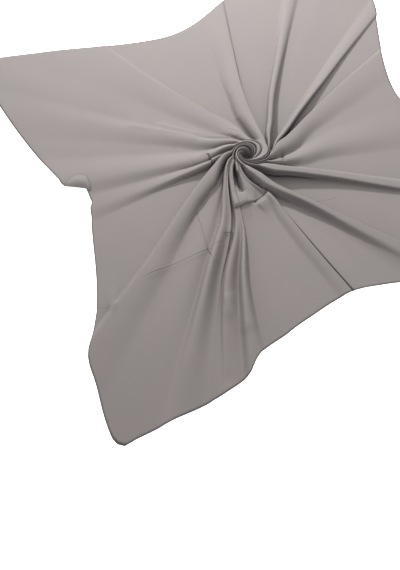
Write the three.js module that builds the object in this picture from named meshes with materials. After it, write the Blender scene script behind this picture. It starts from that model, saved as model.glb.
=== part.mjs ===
// A square headscarf of plain crepe, laid flat and twisted by hand at its middle.
// The twist stands up as a small wound rosette, and folds run out of it to a pulled-in hem.
// Units are millimetres, +Z is up, and the origin is the middle of the box's underside.
// Directions are degrees counterclockwise from +X, seen from above, about the rosette's middle.
import * as THREE from "three";

// Cloth and hem
const WALL = 1.2;
const SEAM_GAP = 0.3;
const HEM_WIDTH = 3.2;
const HEM_HEIGHT = 2.2;
const HEM_CORNER = 0.7;

// Rosette: the wound stretch at the middle of the cloth
const ROSETTE_RADIUS = 36;
const ROSETTE_WIND = 42;
const ROSETTE_RINGS = 9;
const ROSETTE_PROFILE = [
  { radius: 2, floor: 7, groove: 0 },
  { radius: 8, floor: 8.5, groove: 1 },
  { radius: 12.5, floor: 15, groove: 2 },
  { radius: 16, floor: 23, groove: 3.5 },
  { radius: 20, floor: 24, groove: 4.5 },
  { radius: 28, floor: 20, groove: 6 },
  { radius: 36, floor: 15, groove: 8 },
];

// Laid cloth: rings from the rosette out to the hem, closer together near the rosette
const LAID_RINGS = 22;
const RING_CROWDING = 1.75;
const SHARP_FOOT = 1.1;
const SOFT_FOOT = 2;
const CROWDED_SHARE = 0.6;
const FLAT_LIMIT = 0.01;

// Distances from the rosette's middle at which the table of lines gives its values
const STATIONS = [36, 60, 100, 170, 320, 600];

// Lines that run out of the rosette, counterclockwise, each a crest or a trough of the cloth.
// turn: direction at each station. rise: height over the flat cloth at each station.
// reach: half the width of a crest. sharp: how far out a trough stays a slit.
// steps: columns of the wall from this line to the next.
const LINES = [
  { name: "slit", turn: [232, 279, 300, 303, 304.5, 306], rise: [15, 9, 2, 0, 0, 0], sharp: 330, steps: 4 },
  { name: "ridge10", turn: [251, 295, 310, 319, 325, 328], rise: [23, 24, 24, 22, 15, 6], reach: 30, steps: 4 },
  { name: "hollow10", turn: [272, 308, 319, 330, 336, 338], rise: [15, 7, 0, 0, 0, 0], sharp: 120, steps: 4 },
  { name: "ridge11", turn: [300, 321, 336, 343, 346, 348], rise: [23, 22, 20, 17, 11, 4], reach: 18, steps: 3 },
  { name: "trough11", turn: [312, 334, 345, 352, 356, 358], rise: [17, 12, 6, 2, 0, 0], sharp: 60, steps: 4 },
  { name: "ridge9", turn: [322, 346, 1, 11, 13, 13], rise: [22, 18, 13, 10, 6, 2], reach: 40, steps: 4 },
  { name: "trough8", turn: [334, 3, 16, 24, 28, 29], rise: [16, 11, 5, 2, 0, 0], sharp: 80, steps: 4 },
  { name: "ridge7", turn: [345, 17, 30, 38, 41, 42], rise: [23, 21, 19, 16, 9, 3], reach: 24, steps: 3 },
  { name: "slit6", turn: [355, 24, 37, 43, 46, 47], rise: [14, 7, 2, 0, 0, 0], sharp: 240, steps: 3 },
  { name: "ridge5", turn: [3, 29, 42, 48.5, 51, 52], rise: [23, 21, 19, 16, 9, 3], reach: 22, steps: 3 },
  { name: "trough4", turn: [11, 37, 52, 59, 64, 68], rise: [15, 9, 3, 0, 0, 0], sharp: 160, steps: 3 },
  { name: "ridge3", turn: [18, 46, 64, 72, 74, 75], rise: [24, 22, 20, 17, 10, 3], reach: 20, steps: 3 },
  { name: "trough2", turn: [26, 54, 74, 83, 86, 87], rise: [16, 9, 3, 0, 0, 0], sharp: 120, steps: 3 },
  { name: "ridge2", turn: [36, 64, 88, 96, 99, 100], rise: [24, 21, 17, 12, 6, 2], reach: 34, steps: 4 },
  { name: "trough1", turn: [72, 97, 106, 112, 116, 117], rise: [16, 8, 3, 0, 0, 0], sharp: 130, steps: 4 },
  { name: "ridge25", turn: [88, 116, 132, 137, 140, 141], rise: [22, 16, 10, 6, 3, 1], reach: 50, steps: 3 },
  { name: "trough25", turn: [99, 127, 145, 151, 155, 158.4], rise: [18, 12, 6, 3, 0, 0], sharp: 60, steps: 3 },
  { name: "ridge24", turn: [110, 138, 155, 160, 163, 164], rise: [22, 18, 12, 8, 4, 1], reach: 26, steps: 3 },
  { name: "trough24", turn: [123, 150, 168, 174, 177, 178], rise: [17, 12, 6, 2, 0, 0], sharp: 60, steps: 4 },
  { name: "ridge23", turn: [137, 163, 180, 186, 188.5, 189], rise: [23, 20, 17, 15, 14, 20], reach: 34, steps: 3 },
  { name: "trough22", turn: [146, 168, 185, 191.5, 194, 194.5], rise: [18, 14, 9, 5, 3, 3], sharp: 60, steps: 3 },
  { name: "ridge22", turn: [154, 173, 190, 197, 199.5, 200], rise: [22, 19, 16, 12, 7, 1], reach: 30, steps: 4 },
  { name: "trough21", turn: [162, 179, 196, 206, 211, 213], rise: [15, 8, 2, 0, 0, 0], sharp: 90, steps: 4 },
  { name: "ridge20", turn: [170, 187, 204, 217, 228, 233], rise: [24, 24, 24, 20, 15, 6], reach: 32, steps: 4 },
  { name: "hollow19", turn: [180, 198, 219, 229, 237, 241], rise: [12, 4, 0, 0, 0, 0], sharp: 110, steps: 3 },
  { name: "corner_left", turn: [186, 205, 226, 238, 245, 248.1], rise: [15, 10, 6, 3, 1, 0], reach: 40, steps: 3 },
  { name: "ridge18", turn: [192, 211, 233, 248, 253.5, 256], rise: [23, 22, 20, 16, 11, 4], reach: 24, steps: 3 },
  { name: "slit17", turn: [197, 214, 239, 254, 257.5, 259], rise: [16, 10, 4, 2, 1, 0], sharp: 180, steps: 3 },
  { name: "ridge16", turn: [203, 219, 246, 259, 265, 267], rise: [23, 21, 18, 15, 12, 6], reach: 24, steps: 3 },
  { name: "hollow15", turn: [210, 236, 258, 265.5, 269.5, 271.5], rise: [12, 3, 0, 0, 0, 0], sharp: 100, steps: 4 },
  { name: "tongue", turn: [217, 252, 273, 276, 279, 281], rise: [22, 17, 11, 4, 1, 0], reach: 50, steps: 3 },
  { name: "trough14", turn: [222, 262, 284, 288, 295, 298], rise: [19, 13, 6, 1, 0, 0], sharp: 50, steps: 3 },
  { name: "fold_edge", turn: [227, 271, 295, 299, 302, 304], rise: [21, 17, 10, 7, 6, 3], reach: 34, steps: 3 },
];

// Hem: distance from the rosette's middle in each direction, counterclockwise from the first row.
// A row with a side starts that side's hem at its corner.
const OUTLINE = [
  { at: 248.1, reach: 724, side: "front" },
  { at: 249.4, reach: 703 },
  { at: 253.8, reach: 652 },
  { at: 261, reach: 586 },
  { at: 266.3, reach: 543 },
  { at: 268.8, reach: 520 },
  { at: 270.1, reach: 494 },
  { at: 272.2, reach: 469 },
  { at: 278.5, reach: 440 },
  { at: 285.9, reach: 415 },
  { at: 296.7, reach: 397 },
  { at: 306, reach: 404 },
  { at: 316, reach: 448 },
  { at: 325, reach: 520 },
  { at: 332, reach: 610 },
  { at: 336, reach: 690 },
  { at: 338, reach: 724, side: "right" },
  { at: 339.6, reach: 702 },
  { at: 344, reach: 644 },
  { at: 352, reach: 574 },
  { at: 2, reach: 505 },
  { at: 12, reach: 440 },
  { at: 23, reach: 404 },
  { at: 34, reach: 414 },
  { at: 45, reach: 470 },
  { at: 55, reach: 566 },
  { at: 63, reach: 672 },
  { at: 66.5, reach: 722 },
  { at: 68, reach: 728, side: "back" },
  { at: 69.5, reach: 704 },
  { at: 74, reach: 640 },
  { at: 82, reach: 566 },
  { at: 93, reach: 494 },
  { at: 105, reach: 424 },
  { at: 117, reach: 402 },
  { at: 129, reach: 430 },
  { at: 140, reach: 496 },
  { at: 149, reach: 590 },
  { at: 155, reach: 678 },
  { at: 157.2, reach: 720 },
  { at: 158.4, reach: 726, side: "left" },
  { at: 160, reach: 700 },
  { at: 165, reach: 630 },
  { at: 173, reach: 548 },
  { at: 182, reach: 478 },
  { at: 189, reach: 426 },
  { at: 194, reach: 392 },
  { at: 198.3, reach: 383 },
  { at: 203.2, reach: 393 },
  { at: 214.5, reach: 427 },
  { at: 221.8, reach: 461 },
  { at: 227.7, reach: 505 },
  { at: 231, reach: 548 },
  { at: 233.4, reach: 594 },
  { at: 238.8, reach: 641 },
  { at: 244.5, reach: 706 },
  { at: 246.4, reach: 724 },
];

const FULL_TURN = 360;
const DEGREE = Math.PI / 180;

const CREPE = { color: 0x9b9490, roughness: 0.92, metalness: 0 };
const HEM_THREAD = { color: 0x6f6865, roughness: 0.95, metalness: 0 };

function blend(a, b, share) {
  return a + (b - a) * share;
}

// Smooth curve through evenly or unevenly spaced values, with its ends held.
function curve(places, values, at) {
  const last = places.length - 1;
  const held = Math.min(Math.max(at, places[0]), places[last]);
  let index = 0;
  while (index < last - 1 && places[index + 1] < held) {
    index += 1;
  }
  const slope = (i) => {
    const low = Math.max(i - 1, 0);
    const high = Math.min(i + 1, last);
    return (values[high] - values[low]) / (places[high] - places[low]);
  };
  const span = places[index + 1] - places[index];
  const t = (held - places[index]) / span;
  const t2 = t * t;
  const t3 = t2 * t;
  const fromValues = values[index] * (2 * t3 - 3 * t2 + 1) + values[index + 1] * (3 * t2 - 2 * t3);
  const fromSlopes = slope(index) * (t3 - 2 * t2 + t) + slope(index + 1) * (t3 - t2);
  return fromValues + fromSlopes * span;
}

const STATION_LOGS = STATIONS.map((radius) => Math.log(radius));

// Directions in the tables made continuous, so that each row lies past the one before it.
function unwrapped(directions) {
  const result = [directions[0]];
  for (let i = 1; i < directions.length; i += 1) {
    let next = directions[i];
    while (next < result[i - 1]) {
      next += FULL_TURN;
    }
    result.push(next);
  }
  return result;
}

const LINE_TURNS = STATIONS.map((_, k) => unwrapped(LINES.map((line) => line.turn[k])));
const OUTLINE_TURNS = unwrapped(OUTLINE.map((row) => row.at));

// Direction of a line at a radius. Inside the rosette it winds on clockwise.
function lineTurn(index, radius) {
  const turns = LINE_TURNS.map((row) => row[index]);
  if (radius >= ROSETTE_RADIUS) {
    return curve(STATION_LOGS, turns, Math.log(radius));
  }
  const wound = ROSETTE_WIND * (1 / radius - 1 / ROSETTE_RADIUS);
  return turns[0] - wound / DEGREE;
}

function rosetteValue(name, radius) {
  const radii = ROSETTE_PROFILE.map((row) => row.radius);
  const values = ROSETTE_PROFILE.map((row) => row[name]);
  return curve(radii, values, radius);
}

function lineRise(index, radius) {
  const line = LINES[index];
  if (radius >= ROSETTE_RADIUS) {
    return Math.max(0, curve(STATION_LOGS, line.rise, Math.log(radius)));
  }
  const groove = line.reach ? rosetteValue("groove", radius) : 0;
  const wound = rosetteValue("floor", radius) + groove;
  const step = (line.rise[0] - rosetteValue("floor", ROSETTE_RADIUS)
    - (line.reach ? rosetteValue("groove", ROSETTE_RADIUS) : 0));
  return wound + step * Math.max(0, (radius / ROSETTE_RADIUS) * 2 - 1);
}

// How sharp the foot of a crest is beside a trough, from a slit to a soft hollow.
function footPower(trough, radius) {
  const share = Math.min(Math.max((radius - trough.sharp) / trough.sharp, 0), 1);
  return blend(SHARP_FOOT, SOFT_FOOT, share * share * (3 - 2 * share));
}

// Direction and height of the cloth between two lines, at a share of the columns between them.
function between(index, share, radius) {
  const next = (index + 1) % LINES.length;
  const start = lineTurn(index, radius);
  let end = lineTurn(next, radius);
  while (end < start) {
    end += FULL_TURN;
  }
  const fromCrest = Boolean(LINES[index].reach);
  const toCrest = Boolean(LINES[next].reach);
  const rise = lineRise(index, radius);
  const nextRise = lineRise(next, radius);
  if (fromCrest === toCrest) {
    const soft = share * share * (3 - 2 * share);
    return { turn: blend(start, end, share), rise: blend(rise, nextRise, soft) };
  }
  const crest = fromCrest ? LINES[index] : LINES[next];
  const trough = fromCrest ? LINES[next] : LINES[index];
  const width = (end - start) * DEGREE * radius;
  const reach = Math.min(width, crest.reach);
  const crowding = Math.max(1, Math.log(reach / width) / Math.log(CROWDED_SHARE));
  const fromTop = fromCrest ? share : 1 - share;
  const away = Math.pow(fromTop, crowding);
  const down = Math.min(1, (away * width) / reach);
  const bump = Math.pow(Math.cos((down * Math.PI) / 2), footPower(trough, radius));
  const top = fromCrest ? rise : nextRise;
  const foot = fromCrest ? nextRise : rise;
  const turn = fromCrest ? start + (end - start) * away : end - (end - start) * away;
  return { turn, rise: blend(foot, top, bump) };
}

// Columns of the wall: a line's number and the share of the way to the next one.
function wallColumns() {
  const columns = [];
  LINES.forEach((line, index) => {
    for (let step = 0; step < line.steps; step += 1) {
      columns.push({ index, share: step / line.steps });
    }
  });
  return columns;
}

const COLUMNS = wallColumns();

function hemDistance(turn) {
  let at = turn;
  while (at < OUTLINE_TURNS[0]) {
    at += FULL_TURN;
  }
  while (at >= OUTLINE_TURNS[0] + FULL_TURN) {
    at -= FULL_TURN;
  }
  const places = [
    OUTLINE_TURNS[OUTLINE.length - 1] - FULL_TURN, ...OUTLINE_TURNS,
    OUTLINE_TURNS[0] + FULL_TURN, OUTLINE_TURNS[1] + FULL_TURN,
  ];
  const reaches = OUTLINE.map((row) => row.reach);
  const values = [reaches[reaches.length - 1], ...reaches, reaches[0], reaches[1]];
  return curve(places, values, at);
}

// Where a column meets the hem: its radius there is found by a few passes.
function columnReach(column) {
  let reach = STATIONS[STATIONS.length - 1];
  for (let pass = 0; pass < 12; pass += 1) {
    const { turn } = between(column.index, column.share, reach);
    reach = blend(reach, hemDistance(turn), 0.6);
  }
  return reach;
}

function clothPoint(column, radius) {
  const { turn, rise } = between(column.index, column.share, radius);
  const angle = turn * DEGREE;
  return new THREE.Vector3(radius * Math.cos(angle), radius * Math.sin(angle), WALL + rise);
}

function laidRings() {
  const start = ROSETTE_RADIUS + SEAM_GAP;
  const reaches = COLUMNS.map(columnReach);
  const rings = [];
  for (let ring = 0; ring <= LAID_RINGS; ring += 1) {
    const share = Math.pow(ring / LAID_RINGS, RING_CROWDING);
    rings.push(COLUMNS.map((column, j) => clothPoint(column, blend(start, reaches[j], share))));
  }
  return rings;
}

function gridNormal(rings, i, j) {
  const count = rings[i].length;
  const inner = rings[Math.max(i - 1, 0)][j];
  const outer = rings[Math.min(i + 1, rings.length - 1)][j];
  const before = rings[i][(j - 1 + count) % count];
  const after = rings[i][(j + 1) % count];
  const outward = outer.clone().sub(inner);
  const along = after.clone().sub(before);
  return outward.cross(along).normalize();
}

// Underside of the laid cloth: each point one wall below its top, square to the cloth.
// Where the cloth lies flat, its underside is on the surface.
function undersideOf(rings) {
  return rings.map((ring, i) => ring.map((point, j) => {
    if (point.z < WALL + FLAT_LIMIT) {
      return new THREE.Vector3(point.x, point.y, 0);
    }
    const normal = gridNormal(rings, i, j);
    if (i === 0 || i === rings.length - 1) {
      const outward = new THREE.Vector3(point.x, point.y, 0).normalize();
      normal.addScaledVector(outward, -normal.dot(outward)).normalize();
    }
    const under = point.clone().addScaledVector(normal, -WALL);
    under.z = Math.max(0, under.z);
    return under;
  }));
}

// A closed body between two grids of rings, with a pole at the inner end where one is given.
function wallGeometry(tops, bottoms, poles) {
  const count = tops[0].length;
  const corners = [];
  const face = (a, b, c) => {
    corners.push(a.x, a.y, a.z, b.x, b.y, b.z, c.x, c.y, c.z);
  };
  const quad = (a, b, c, d) => {
    if (a.distanceToSquared(c) <= b.distanceToSquared(d)) {
      face(a, b, c);
      face(a, c, d);
    } else {
      face(a, b, d);
      face(b, c, d);
    }
  };
  const last = tops.length - 1;
  for (let j = 0; j < count; j += 1) {
    const k = (j + 1) % count;
    for (let i = 0; i < last; i += 1) {
      quad(tops[i][j], tops[i + 1][j], tops[i + 1][k], tops[i][k]);
      quad(bottoms[i][k], bottoms[i + 1][k], bottoms[i + 1][j], bottoms[i][j]);
    }
    quad(tops[last][j], bottoms[last][j], bottoms[last][k], tops[last][k]);
    if (poles) {
      face(poles.top, tops[0][j], tops[0][k]);
      face(poles.bottom, bottoms[0][k], bottoms[0][j]);
    } else {
      quad(tops[0][k], bottoms[0][k], bottoms[0][j], tops[0][j]);
    }
  }
  const geometry = new THREE.BufferGeometry();
  geometry.setAttribute("position", new THREE.Float32BufferAttribute(corners, 3));
  geometry.computeVertexNormals();
  return geometry;
}

// Rosette: the lines wind on inwards as strands, over a plain underside.
function rosetteRadii() {
  const inner = ROSETTE_PROFILE[0].radius;
  const radii = [];
  for (let ring = 0; ring <= ROSETTE_RINGS; ring += 1) {
    radii.push(blend(inner, ROSETTE_RADIUS, ring / ROSETTE_RINGS));
  }
  return radii;
}

function rosetteUnder(radius, angle) {
  const step = 0.5;
  const slope = (rosetteValue("floor", radius + step) - rosetteValue("floor", radius - step)) / (2 * step);
  const steepness = Math.hypot(1, slope);
  const atRim = radius === ROSETTE_RADIUS;
  const inset = atRim ? radius : radius + (WALL * slope) / steepness;
  const drop = WALL / steepness;
  const height = WALL + rosetteValue("floor", radius) - 1.5 - drop;
  return new THREE.Vector3(inset * Math.cos(angle), inset * Math.sin(angle), height);
}

function rosetteGeometry() {
  const radii = rosetteRadii();
  const tops = radii.map((radius) => COLUMNS.map((column) => clothPoint(column, radius)));
  const bottoms = radii.map((radius) => COLUMNS.map((column) => {
    const { turn } = between(column.index, column.share, radius);
    return rosetteUnder(radius, turn * DEGREE);
  }));
  const floor = rosetteValue("floor", ROSETTE_PROFILE[0].radius);
  const poles = {
    top: new THREE.Vector3(0, 0, WALL + floor),
    bottom: new THREE.Vector3(0, 0, floor - 1.5),
  };
  return wallGeometry(tops, bottoms, poles);
}

// Rolled hem of one side: a small rounded section carried along the cloth's rim, from its own points.
function hemSection(top, bottom, outward, shift) {
  const up = top.clone().sub(bottom).normalize();
  const edge = SEAM_GAP + HEM_WIDTH;
  const profile = [
    [SEAM_GAP, 0], [edge - HEM_CORNER, 0], [edge, HEM_CORNER],
    [edge, HEM_HEIGHT - HEM_CORNER], [edge - HEM_CORNER, HEM_HEIGHT], [SEAM_GAP, HEM_HEIGHT],
  ];
  return profile.map(([out, height]) => bottom.clone()
    .add(shift)
    .addScaledVector(outward, out)
    .addScaledVector(up, height));
}

function hemGeometry(tops, bottoms, start, end) {
  const rim = tops[tops.length - 1];
  const under = bottoms[bottoms.length - 1];
  const count = rim.length;
  const sections = [];
  for (let j = start; j <= end; j += 1) {
    const before = rim[(j - 1 + count) % count];
    const after = rim[(j + 1) % count];
    const along = after.clone().sub(before).setZ(0).normalize();
    const outward = new THREE.Vector3(along.y, -along.x, 0);
    const endShift = j === start ? SEAM_GAP : 0;
    const shift = along.clone().multiplyScalar(j === end ? -SEAM_GAP : endShift);
    sections.push(hemSection(rim[j % count], under[j % count], outward, shift));
  }
  return stripGeometry(sections);
}

// A closed bar through a row of sections that all turn the same way.
function stripGeometry(sections) {
  const sides = sections[0].length;
  const corners = [];
  const face = (a, b, c) => {
    corners.push(a.x, a.y, a.z, b.x, b.y, b.z, c.x, c.y, c.z);
  };
  for (let i = 0; i < sections.length - 1; i += 1) {
    for (let k = 0; k < sides; k += 1) {
      const m = (k + 1) % sides;
      face(sections[i][k], sections[i + 1][m], sections[i][m]);
      face(sections[i][k], sections[i + 1][k], sections[i + 1][m]);
    }
  }
  const first = sections[0];
  const last = sections[sections.length - 1];
  for (let k = 1; k < sides - 1; k += 1) {
    face(first[0], first[k], first[k + 1]);
    face(last[0], last[k + 1], last[k]);
  }
  const geometry = new THREE.BufferGeometry();
  geometry.setAttribute("position", new THREE.Float32BufferAttribute(corners, 3));
  geometry.computeVertexNormals();
  return geometry;
}

function piece(name, geometry, finish) {
  const mesh = new THREE.Mesh(geometry, new THREE.MeshStandardMaterial(finish));
  mesh.name = name;
  return mesh;
}

// Column of the rim that lies nearest each corner of the cloth.
function cornerColumns(rim) {
  return OUTLINE.filter((row) => row.side).map((row) => {
    const angle = row.at * DEGREE;
    const corner = new THREE.Vector3(row.reach * Math.cos(angle), row.reach * Math.sin(angle), 0);
    let best = 0;
    rim.forEach((point, j) => {
      if (point.distanceTo(corner) < rim[best].distanceTo(corner)) {
        best = j;
      }
    });
    return { side: row.side, column: best };
  });
}

function buildScarf() {
  const scarf = new THREE.Group();
  const tops = laidRings();
  const bottoms = undersideOf(tops);
  scarf.add(piece("laid_cloth", wallGeometry(tops, bottoms), CREPE));
  scarf.add(piece("rosette", rosetteGeometry(), CREPE));
  const corners = cornerColumns(tops[tops.length - 1]);
  corners.forEach(({ side, column }, i) => {
    let end = corners[(i + 1) % corners.length].column;
    if (end <= column) {
      end += COLUMNS.length;
    }
    scarf.add(piece(`hem_${side}`, hemGeometry(tops, bottoms, column, end), HEM_THREAD));
  });
  const box = new THREE.Box3().setFromObject(scarf);
  const middle = box.getCenter(new THREE.Vector3());
  scarf.position.set(-middle.x, -middle.y, -box.min.z);
  return scarf;
}

export default buildScarf();
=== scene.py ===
"""A square headscarf of plain crepe, laid flat and twisted by hand at its middle.

The twist stands up as a small wound rosette, and folds run out of it to a rolled hem that is pulled
in along each side. Sizes in the classes are millimetres about the rosette's middle, but the studio's
and the cloth's cut are metres. Directions are degrees counterclockwise from +X, seen from above.
"""
import logging
import math
from collections.abc import Sequence
from dataclasses import dataclass
from enum import Enum
from functools import partial, reduce

import bpy
import numpy as np
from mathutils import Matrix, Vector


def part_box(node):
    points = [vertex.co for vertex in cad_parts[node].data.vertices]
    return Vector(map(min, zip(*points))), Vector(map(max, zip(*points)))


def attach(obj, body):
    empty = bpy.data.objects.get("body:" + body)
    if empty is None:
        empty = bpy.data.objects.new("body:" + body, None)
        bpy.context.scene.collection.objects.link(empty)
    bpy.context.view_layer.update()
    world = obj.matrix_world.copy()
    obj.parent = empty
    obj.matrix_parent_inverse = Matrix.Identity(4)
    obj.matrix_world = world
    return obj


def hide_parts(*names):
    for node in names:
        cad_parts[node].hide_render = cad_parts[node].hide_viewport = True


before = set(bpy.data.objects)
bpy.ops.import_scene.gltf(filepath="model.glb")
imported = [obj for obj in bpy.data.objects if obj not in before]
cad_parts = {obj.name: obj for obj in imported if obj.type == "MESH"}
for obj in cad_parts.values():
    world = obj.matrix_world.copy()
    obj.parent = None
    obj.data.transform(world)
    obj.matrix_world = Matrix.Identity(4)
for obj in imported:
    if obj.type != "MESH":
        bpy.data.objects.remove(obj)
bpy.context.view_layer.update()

Array = np.ndarray
Pair = tuple[float, float]
Triple = tuple[float, float, float]
Floats = tuple[float, ...]
Socket = bpy.types.NodeSocket
Tree = bpy.types.NodeTree

LOG = logging.getLogger("headscarf")
MM = 0.001
FULL_TURN = 360.0


class LineKind(Enum):
    """What a line that runs out of the rosette is in the cloth."""

    CREST = "crest"
    TROUGH = "trough"
    CORNER = "corner"


@dataclass(frozen=True)
class ClothLine:
    """One line of the cloth from the rosette to the hem. Its name is a label for the reader.

    turn and rise hold the line's direction and its height over the flat cloth at each station.
    before and after are the widths of a crest on its clockwise and counterclockwise sides, lean is
    how far its top hangs over counterclockwise, and sharp is how far out a trough stays a slit.
    columns says how many of the mesh's columns lie from it to the next line. The fuller a crest, the
    flatter its top, and flare is how much wider it gets past the plan's flare_start. A line that
    wraps winds on into the rosette as one of its strands.
    """

    name: str
    kind: LineKind
    turn: Floats
    rise: Floats
    before: float = 0.0
    after: float = 0.0
    lean: float = 0.0
    sharp: float = 0.0
    columns: int = 12
    full: float = 2.0
    flare: float = 0.7
    wraps: bool = False


CREST, TROUGH, CORNER = LineKind.CREST, LineKind.TROUGH, LineKind.CORNER

CLOTH_LINES = (
    ClothLine("slit", TROUGH, (229, 260, 291.9, 298.6, 302.2, 304.9), (8, 3, 0, 0, 0, 0), sharp=330,
        columns=8),
    ClothLine("slit_side", CREST, (231, 262, 293.2, 299.4, 302.8, 305.6), (8, 3, 0, 4, 6, 3), 3, 40,
        flare=0.2, columns=6),
    ClothLine("foot10", TROUGH, (233, 267, 294.6, 312.6, 320, 324), (8, 3, 0, 0, 0, 0), sharp=100,
        columns=6),
    ClothLine("ridge10", CREST, (246, 287, 303.6, 316.6, 324.3, 328), (24, 25, 23, 19, 13, 6), 18, 5, 0,
        full=6, flare=0.5, columns=18, wraps=True),
    ClothLine("hollow10", TROUGH, (262, 296.5, 311.5, 321.5, 329, 333.7), (8, 0, 0, 0, 0, 0), sharp=140,
        columns=6),
    ClothLine("corner_right", CORNER, (271, 304, 321, 331.5, 336, 338), (8, 0, 0, 0, 0.5, 1), 40, 40,
        columns=8),
    ClothLine("hollow11", TROUGH, (281, 311, 331.5, 341, 344.8, 346.8), (8, 0, 0, 0, 0, 0), sharp=140,
        columns=8),
    ClothLine("ridge11", CREST, (299, 322, 337, 345.2, 348.2, 349.6), (24, 24, 21, 17, 11, 4), 12, 13, -4,
        full=6, flare=0.3, columns=16, wraps=True),
    ClothLine("trough11", TROUGH, (312, 334, 346, 353, 357, 359), (12, 9, 5, 2, 0, 0), sharp=60,
        columns=14),
    ClothLine("ridge9", CREST, (318, 341, 356, 8, 12, 13), (22, 18, 13, 9, 5, 2), 30, 40, columns=14,
        wraps=True),
    ClothLine("trough8", TROUGH, (328, 352, 8, 20, 27, 29), (9, 7, 5, 4, 2, 0), sharp=80),
    ClothLine("ridge7", CREST, (345, 14, 26, 36, 41, 42), (24, 23, 19, 13, 7, 3), 36, 6, 4, full=3,
        columns=10, wraps=True),
    ClothLine("slit6", TROUGH, (352, 19, 31, 40, 45, 47), (8, 0, 0, 0, 0, 0), sharp=260, columns=10),
    ClothLine("ridge5", CREST, (359, 25, 37, 46, 51, 53), (23, 23, 21, 17, 9, 3), 5, 12, -3, full=3,
        columns=10),
    ClothLine("trough4", TROUGH, (4, 31, 44, 54, 61, 64), (8, 0, 0, 0, 0, 0), sharp=160, columns=6),
    ClothLine("corner_back", CORNER, (7, 35, 49, 60, 66, 68), (8, 0, 0, 0, 0.5, 1), 40, 40, columns=6),
    ClothLine("trough3", TROUGH, (10, 39, 53, 64, 70, 72), (8, 0, 0, 0, 0, 0), sharp=160, columns=8),
    ClothLine("ridge3", CREST, (17, 46, 61, 71, 75, 77), (24, 25, 23, 18, 11, 3), 9, 9, full=3.4,
        columns=10, wraps=True),
    ClothLine("trough2", TROUGH, (25, 55, 71, 83, 88, 89), (9, 1, 0, 0, 0, 0), sharp=160, columns=10),
    ClothLine("ridge2", CREST, (38, 70, 88, 96, 98, 99), (24, 22, 19, 15, 8, 2), 7, 30, -4, full=3,
        columns=18, wraps=True),
    ClothLine("trough1", TROUGH, (68, 92, 104, 112, 117, 119), (9, 1, 0, 0, 0, 0), sharp=150, columns=14),
    ClothLine("ridge25", CREST, (86, 106, 118, 130, 137, 139), (22, 18, 14, 8, 3, 1), 6, 50, full=3),
    ClothLine("trough25", TROUGH, (99, 126, 142, 147, 150, 153), (16, 12, 6, 2, 0, 0), sharp=60, columns=6),
    ClothLine("corner_far", CORNER, (102, 130, 146, 152, 156, 158.4), (16, 12, 6, 2, 0.5, 1), 40, 40,
        columns=6),
    ClothLine("trough26", TROUGH, (105, 133, 150, 156, 160, 162), (16, 12, 6, 2, 0, 0), sharp=60,
        columns=8),
    ClothLine("ridge24", CREST, (112, 139, 156, 162, 165, 167), (22, 18, 12, 8, 4, 1), 20, 26, columns=10),
    ClothLine("trough24", TROUGH, (123, 150, 168, 174, 178, 180), (13, 9, 4, 2, 0, 0), sharp=60),
    ClothLine("ridge23", CREST, (137, 163, 180, 186, 188.5, 189), (23, 20, 15, 11, 9, 8), 44, 24,
        columns=14, wraps=True),
    ClothLine("trough22", TROUGH, (147, 170, 187, 192, 194.5, 195), (10, 9, 8, 5, 3, 3), sharp=110),
    ClothLine("ridge22", CREST, (155, 175, 191.5, 197, 199.5, 200), (11, 12, 17, 10, 5, 1.5), 30, 9, 1,
        flare=2),
    ClothLine("trough21", TROUGH, (163, 180, 197, 205, 211, 213), (9, 4, 2, 0, 0, 0), sharp=110),
    ClothLine("ridge20", CREST, (171, 186, 204.3, 216.8, 228, 233), (24, 25, 21, 15.5, 11, 6), 6, 30, 1,
        full=2.6, columns=18, wraps=True),
    ClothLine("hollow19", TROUGH, (180, 199, 220, 230, 238, 242), (8, 2, 8, 0, 0, 0), sharp=150, columns=8),
    ClothLine("corner_left", CORNER, (183, 202, 225, 238.5, 245, 248.1), (8, 1, 4, 3, 3, 0), 60, 16,
        columns=8),
    ClothLine("trough18", TROUGH, (187, 205, 230.5, 243.5, 249.5, 252), (9, 2, 0, 0, 0, 0), sharp=90,
        columns=10),
    ClothLine("ridge18", CREST, (193, 213, 234.7, 249, 252.6, 255.4), (23, 24, 20, 18, 21, 6), 12, 8, -3,
        full=2.6, flare=1.2, columns=8, wraps=True),
    ClothLine("strip_right", CREST, (197, 215.5, 237.2, 253, 256.4, 260), (20, 20, 18, 10, 2, 0.3), 9, 5,
        1, full=4, columns=8),
    ClothLine("slit17", TROUGH, (199.5, 216.8, 239.4, 256, 257.6, 263), (8, 2, 0, 0, 0, 0), sharp=240,
        columns=8),
    ClothLine("ridge17", CREST, (201, 220, 243, 258.5, 259.3, 264.5), (23, 25, 20, 9, 14, 2), 5, 25,
        columns=6),
    ClothLine("edge16", TROUGH, (202.5, 222, 245.5, 260.8, 264.3, 268), (22, 24, 20, 8, 0, 0), sharp=90,
        columns=6),
    ClothLine("ridge16", CREST, (204, 225, 247, 262.8, 266, 271), (24, 26, 20, 10, 24, 12), 4, 5, 0,
        full=2.6, flare=3),
    ClothLine("hollow15", TROUGH, (206, 236, 256, 268.2, 271.6, 275.5), (8, 0, 15, 3, 0, 0), sharp=76),
    ClothLine("tongue", CREST, (211, 243.5, 264, 275, 280, 284), (23, 20, 13, 3, 0, 0), 7, 60, -2, full=3,
        flare=1),
    ClothLine("trough14", TROUGH, (220, 252, 284, 290, 296.5, 301), (19, 15, 10, 3, 0, 0), sharp=30),
    ClothLine("fold_edge", CREST, (226, 258, 291, 297.8, 301.7, 304.3), (20, 16, 14, 10, 7, 3), 26, 3, 0,
        full=2.6, flare=0.3),
)


@dataclass(frozen=True)
class HemSide:
    """One side of the hem, from its corner on: the direction and distance of points on it."""

    name: str
    points: tuple[Pair, ...]


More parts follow.
